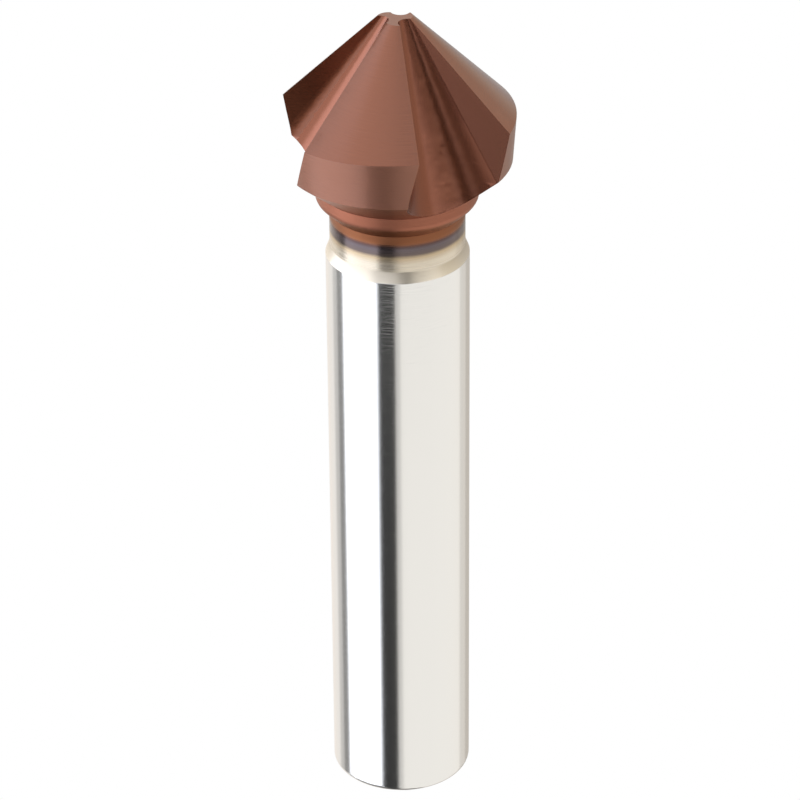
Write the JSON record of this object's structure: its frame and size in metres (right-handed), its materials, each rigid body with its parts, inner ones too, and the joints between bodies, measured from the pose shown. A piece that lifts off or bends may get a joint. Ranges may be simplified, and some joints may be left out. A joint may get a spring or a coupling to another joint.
{
  "type": "countersink bit",
  "caption": "One-piece countersink bit: fluted 90 degree cutting cone with a short margin, a thin collar and neck, on a plain round shank.",
  "frame": {"origin": "centre of the flat foot of the shank", "axes": "+Z along the bit's axis towards the cutting tip; -Y is the side with one cutting land facing it, its cutting edge just right of the middle"},
  "size_m": [0.016, 0.0162, 0.06],
  "materials": {
    "tool_steel": "copper-brown coated head fading to a bright ground shank"
  },
  "bodies": {
    "root": {"countersink_bit": "tool_steel"}
  },
  "joints": []
}
